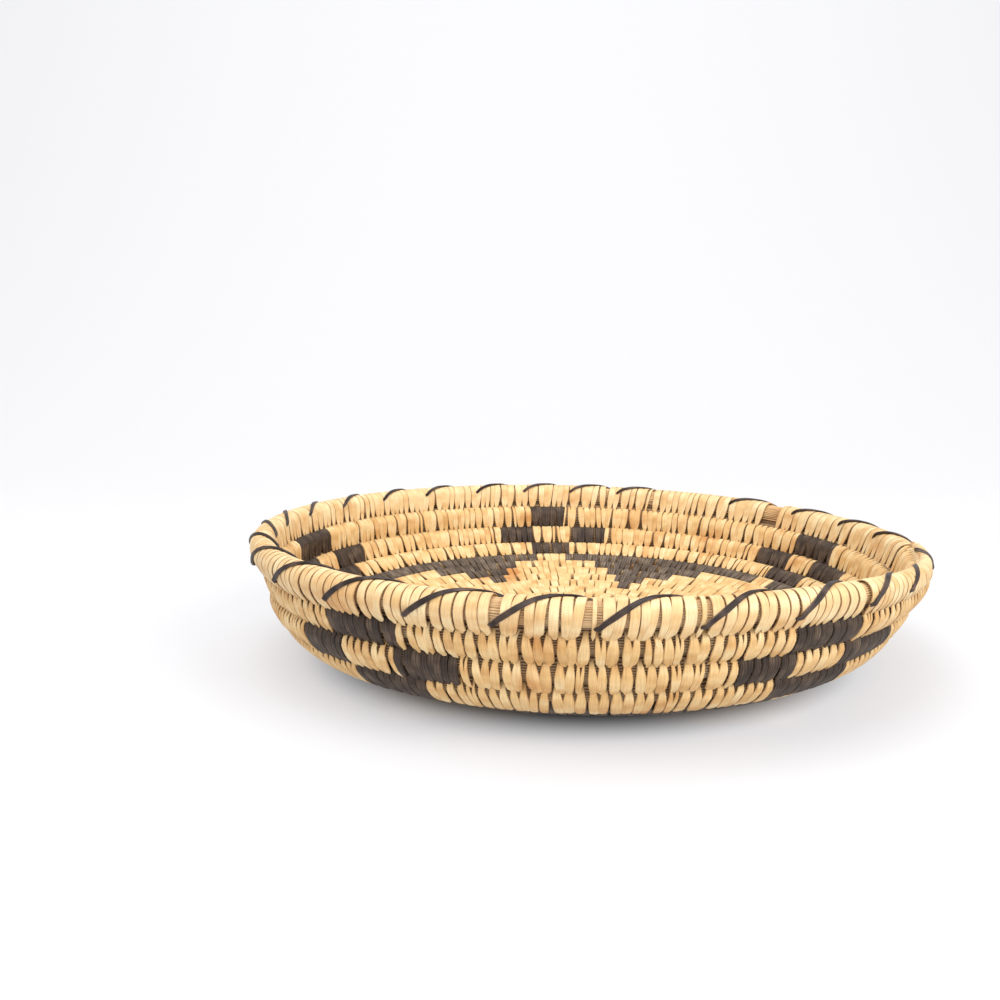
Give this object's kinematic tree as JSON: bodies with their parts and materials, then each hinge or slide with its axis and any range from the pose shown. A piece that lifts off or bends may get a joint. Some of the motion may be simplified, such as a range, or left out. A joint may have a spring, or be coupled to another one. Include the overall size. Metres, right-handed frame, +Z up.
{
  "type": "basket tray",
  "caption": "Shallow round coiled basket tray with a dished floor, low flared wall, stepped petal and diamond pattern, and a rim coil whipped with a dark strand.",
  "frame": {"origin": "middle of the outline, on the surface that the tray stands on", "axes": "+Z up, out of the tray's open side; +Y away from the side that the picture is taken from"},
  "size_m": [0.3056, 0.3092, 0.061],
  "materials": {
    "light_splint": "cream to yellow-tan plant splints, satin",
    "rim_splint": "pale cream plant splints, satin",
    "dark_splint": "dark grey-brown plant splints, satin",
    "whip_splint": "almost black ribbed strand, slightly glossy",
    "knot_fibre": "tan plant fibre, matte"
  },
  "bodies": {
    "root": {"floor_dark_01": "dark_splint", "floor_dark_02": "dark_splint", "floor_dark_03": "dark_splint", "floor_dark_04": "dark_splint", "floor_dark_05": "dark_splint", "floor_dark_06": "dark_splint", "floor_dark_07": "dark_splint", "floor_dark_08": "dark_splint", "floor_dark_09": "dark_splint", "floor_dark_10": "dark_splint", "floor_dark_11": "dark_splint", "floor_dark_12": "dark_splint", "floor_dark_13": "dark_splint", "floor_dark_14": "dark_splint", "floor_dark_15": "dark_splint", "floor_dark_16": "dark_splint", "floor_dark_17": "dark_splint", "floor_dark_18": "dark_splint", "floor_dark_19": "dark_splint", "floor_dark_20": "dark_splint", "floor_dark_21": "dark_splint", "floor_dark_22": "dark_splint", "floor_dark_23": "dark_splint", "floor_dark_24": "dark_splint", "floor_dark_25": "dark_splint", "floor_dark_26": "dark_splint", "floor_dark_27": "dark_splint", "floor_dark_28": "dark_splint", "floor_dark_29": "dark_splint", "floor_dark_30": "dark_splint", "floor_dark_31": "dark_splint", "foundation_coil": "light_splint", "rim_stitches": "rim_splint", "rim_whip": "whip_splint", "start_knot": "knot_fibre", "wall_dark_foot_1": "dark_splint", "wall_dark_foot_2": "dark_splint", "wall_dark_foot_3": "dark_splint", "wall_dark_foot_4": "dark_splint", "wall_dark_foot_5": "dark_splint", "wall_dark_left_1": "dark_splint", "wall_dark_left_2": "dark_splint", "wall_dark_left_3": "dark_splint", "wall_dark_left_4": "dark_splint", "wall_dark_left_5": "dark_splint", "wall_dark_right_1": "dark_splint", "wall_dark_right_2": "dark_splint", "wall_dark_right_3": "dark_splint", "wall_dark_right_4": "dark_splint", "wall_dark_right_5": "dark_splint", "wall_dark_top_1": "dark_splint", "wall_dark_top_2": "dark_splint", "wall_dark_top_3": "dark_splint", "wall_dark_top_4": "dark_splint", "wall_dark_top_5": "dark_splint"}
  },
  "joints": []
}
